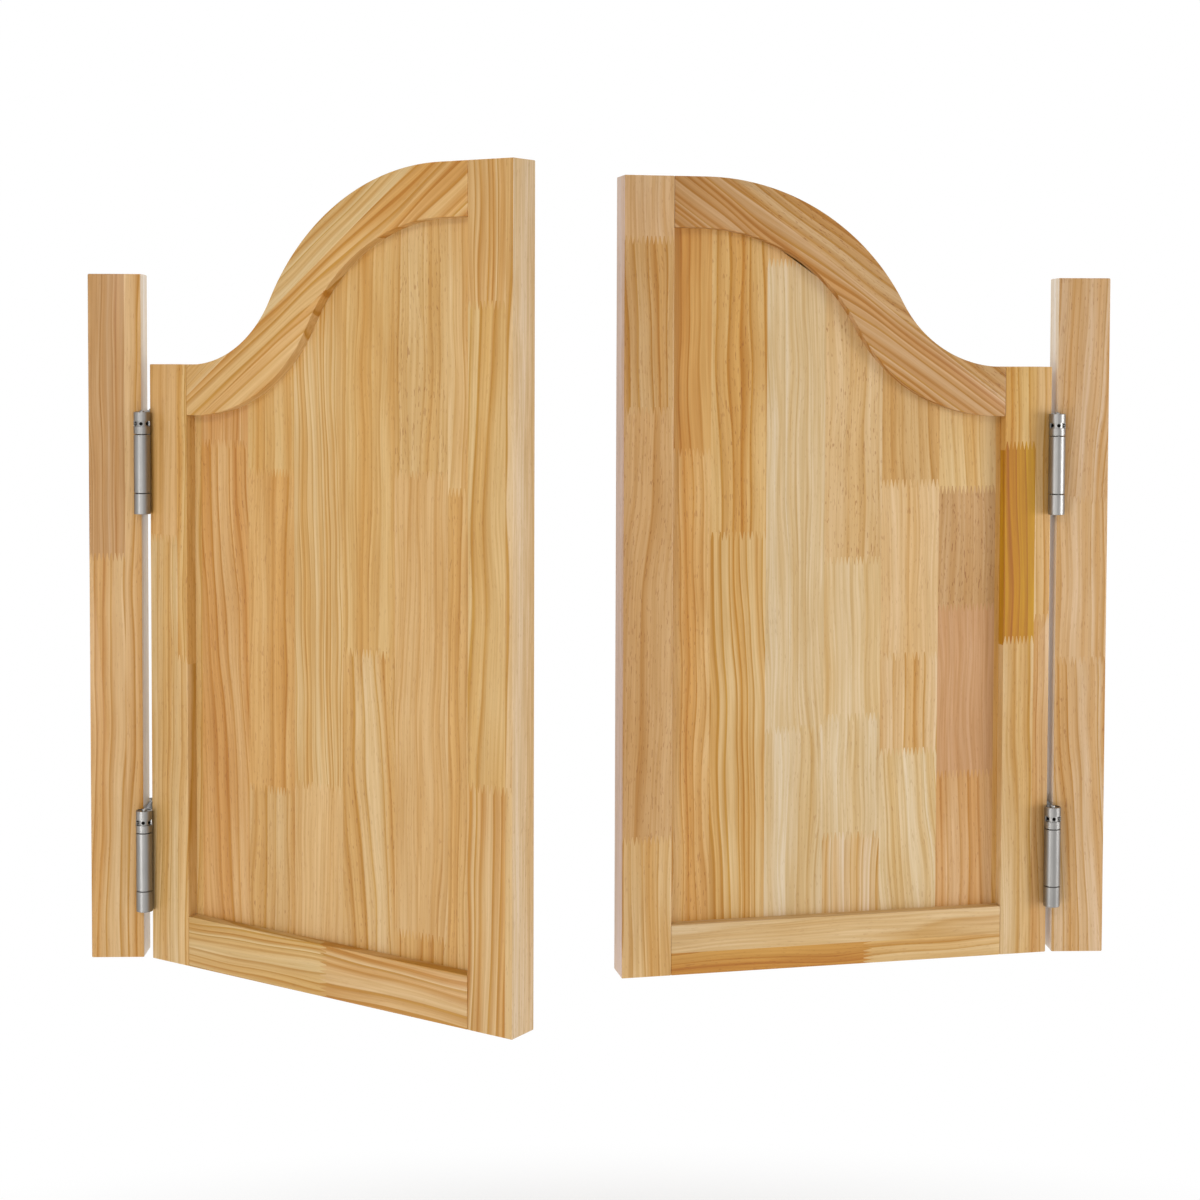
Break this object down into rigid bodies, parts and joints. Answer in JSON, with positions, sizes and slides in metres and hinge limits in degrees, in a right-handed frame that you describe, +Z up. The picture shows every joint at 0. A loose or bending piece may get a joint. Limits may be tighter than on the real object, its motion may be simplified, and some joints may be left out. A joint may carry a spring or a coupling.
{
  "type": "cafe swinging door pair",
  "caption": "Pair of low pine cafe doors with S-curved tops, flush panels and double-action spring hinges on wall battens.",
  "frame": {"origin": "middle of the doorway, level with the bottom of the leaves and halfway through the thickness of the closed leaves", "axes": "+X across the doorway to the viewer's right, +Y away from the viewer through the doorway, +Z up"},
  "size_m": [1.03, 0.3094, 0.785],
  "materials": {
    "leaf_pine": "clear satin lacquer",
    "batten_pine": "clear satin lacquer",
    "hinge_steel": "brushed",
    "spring_steel": "dark oiled"
  },
  "bodies": {
    "root": {"left_batten": "batten_pine", "left_lower_jamb_flange": "hinge_steel", "left_lower_back_spring": "spring_steel", "left_upper_jamb_flange": "hinge_steel", "left_upper_back_spring": "spring_steel", "right_batten": "batten_pine", "right_lower_jamb_flange": "hinge_steel", "right_lower_back_spring": "spring_steel", "right_upper_jamb_flange": "hinge_steel", "right_upper_back_spring": "spring_steel"},
    "left_web": {"left_lower_web": "hinge_steel", "left_lower_front_spindle": "hinge_steel", "left_lower_back_spindle": "hinge_steel", "left_upper_web": "hinge_steel", "left_upper_front_spindle": "hinge_steel", "left_upper_back_spindle": "hinge_steel"},
    "left_leaf": {"left_hinge_stile": "leaf_pine", "left_meeting_stile": "leaf_pine", "left_top_rail": "leaf_pine", "left_bottom_rail": "leaf_pine", "left_panel": "leaf_pine", "left_lower_leaf_flange": "hinge_steel", "left_lower_front_spring": "spring_steel", "left_upper_leaf_flange": "hinge_steel", "left_upper_front_spring": "spring_steel"},
    "left_lower_front_adjuster": {"left_lower_front_tension_collar": "hinge_steel", "left_lower_front_tension_pin": "spring_steel"},
    "left_lower_back_adjuster": {"left_lower_back_tension_collar": "hinge_steel", "left_lower_back_tension_pin": "spring_steel"},
    "left_upper_front_adjuster": {"left_upper_front_tension_collar": "hinge_steel", "left_upper_front_tension_pin": "spring_steel"},
    "left_upper_back_adjuster": {"left_upper_back_tension_collar": "hinge_steel", "left_upper_back_tension_pin": "spring_steel"},
    "right_web": {"right_lower_web": "hinge_steel", "right_lower_front_spindle": "hinge_steel", "right_lower_back_spindle": "hinge_steel", "right_upper_web": "hinge_steel", "right_upper_front_spindle": "hinge_steel", "right_upper_back_spindle": "hinge_steel"},
    "right_leaf": {"right_hinge_stile": "leaf_pine", "right_meeting_stile": "leaf_pine", "right_top_rail": "leaf_pine", "right_bottom_rail": "leaf_pine", "right_panel": "leaf_pine", "right_lower_leaf_flange": "hinge_steel", "right_lower_front_spring": "spring_steel", "right_upper_leaf_flange": "hinge_steel", "right_upper_front_spring": "spring_steel"},
    "right_lower_front_adjuster": {"right_lower_front_tension_collar": "hinge_steel", "right_lower_front_tension_pin": "spring_steel"},
    "right_lower_back_adjuster": {"right_lower_back_tension_collar": "hinge_steel", "right_lower_back_tension_pin": "spring_steel"},
    "right_upper_front_adjuster": {"right_upper_front_tension_collar": "hinge_steel", "right_upper_front_tension_pin": "spring_steel"},
    "right_upper_back_adjuster": {"right_upper_back_tension_collar": "hinge_steel", "right_upper_back_tension_pin": "spring_steel"}
  },
  "joints": [
    {"name": "left_back_swing", "type": "hinge", "parent": "root", "child": "left_web", "pos_m": [-0.46, 0.0255, 0.3], "axis": [0, 0, -1], "range_deg": [-90, 0], "stiffness_Nm_per_rad": 2, "springref_deg": 28.65},
    {"name": "left_front_swing", "type": "hinge", "parent": "left_web", "child": "left_leaf", "pos_m": [-0.46, -0.0255, 0.3], "axis": [0, 0, -1], "range_deg": [-35, 55], "stiffness_Nm_per_rad": 2, "springref_deg": -63.65},
    {"name": "left_lower_front_tension", "type": "hinge", "parent": "left_web", "child": "left_lower_front_adjuster", "pos_m": [-0.46, -0.0255, 0.141], "axis": [0, 0, 1], "range_deg": [0, 115]},
    {"name": "left_lower_back_tension", "type": "hinge", "parent": "left_web", "child": "left_lower_back_adjuster", "pos_m": [-0.46, 0.0255, 0.141], "axis": [0, 0, 1], "range_deg": [0, 115]},
    {"name": "left_upper_front_tension", "type": "hinge", "parent": "left_web", "child": "left_upper_front_adjuster", "pos_m": [-0.46, -0.0255, 0.5415], "axis": [0, 0, 1], "range_deg": [0, 115]},
    {"name": "left_upper_back_tension", "type": "hinge", "parent": "left_web", "child": "left_upper_back_adjuster", "pos_m": [-0.46, 0.0255, 0.5415], "axis": [0, 0, 1], "range_deg": [0, 115]},
    {"name": "right_back_swing", "type": "hinge", "parent": "root", "child": "right_web", "pos_m": [0.46, 0.0255, 0.3], "axis": [0, 0, 1], "range_deg": [-90, 0], "stiffness_Nm_per_rad": 2, "springref_deg": 28.65},
    {"name": "right_front_swing", "type": "hinge", "parent": "right_web", "child": "right_leaf", "pos_m": [0.46, -0.0255, 0.3], "axis": [0, 0, 1], "range_deg": [-10.5, 79.5], "stiffness_Nm_per_rad": 2, "springref_deg": -39.15},
    {"name": "right_lower_front_tension", "type": "hinge", "parent": "right_web", "child": "right_lower_front_adjuster", "pos_m": [0.46, -0.0255, 0.141], "axis": [0, 0, -1], "range_deg": [0, 115]},
    {"name": "right_lower_back_tension", "type": "hinge", "parent": "right_web", "child": "right_lower_back_adjuster", "pos_m": [0.46, 0.0255, 0.141], "axis": [0, 0, -1], "range_deg": [0, 115]},
    {"name": "right_upper_front_tension", "type": "hinge", "parent": "right_web", "child": "right_upper_front_adjuster", "pos_m": [0.46, -0.0255, 0.5415], "axis": [0, 0, -1], "range_deg": [0, 115]},
    {"name": "right_upper_back_tension", "type": "hinge", "parent": "right_web", "child": "right_upper_back_adjuster", "pos_m": [0.46, 0.0255, 0.5415], "axis": [0, 0, -1], "range_deg": [0, 115]}
  ]
}
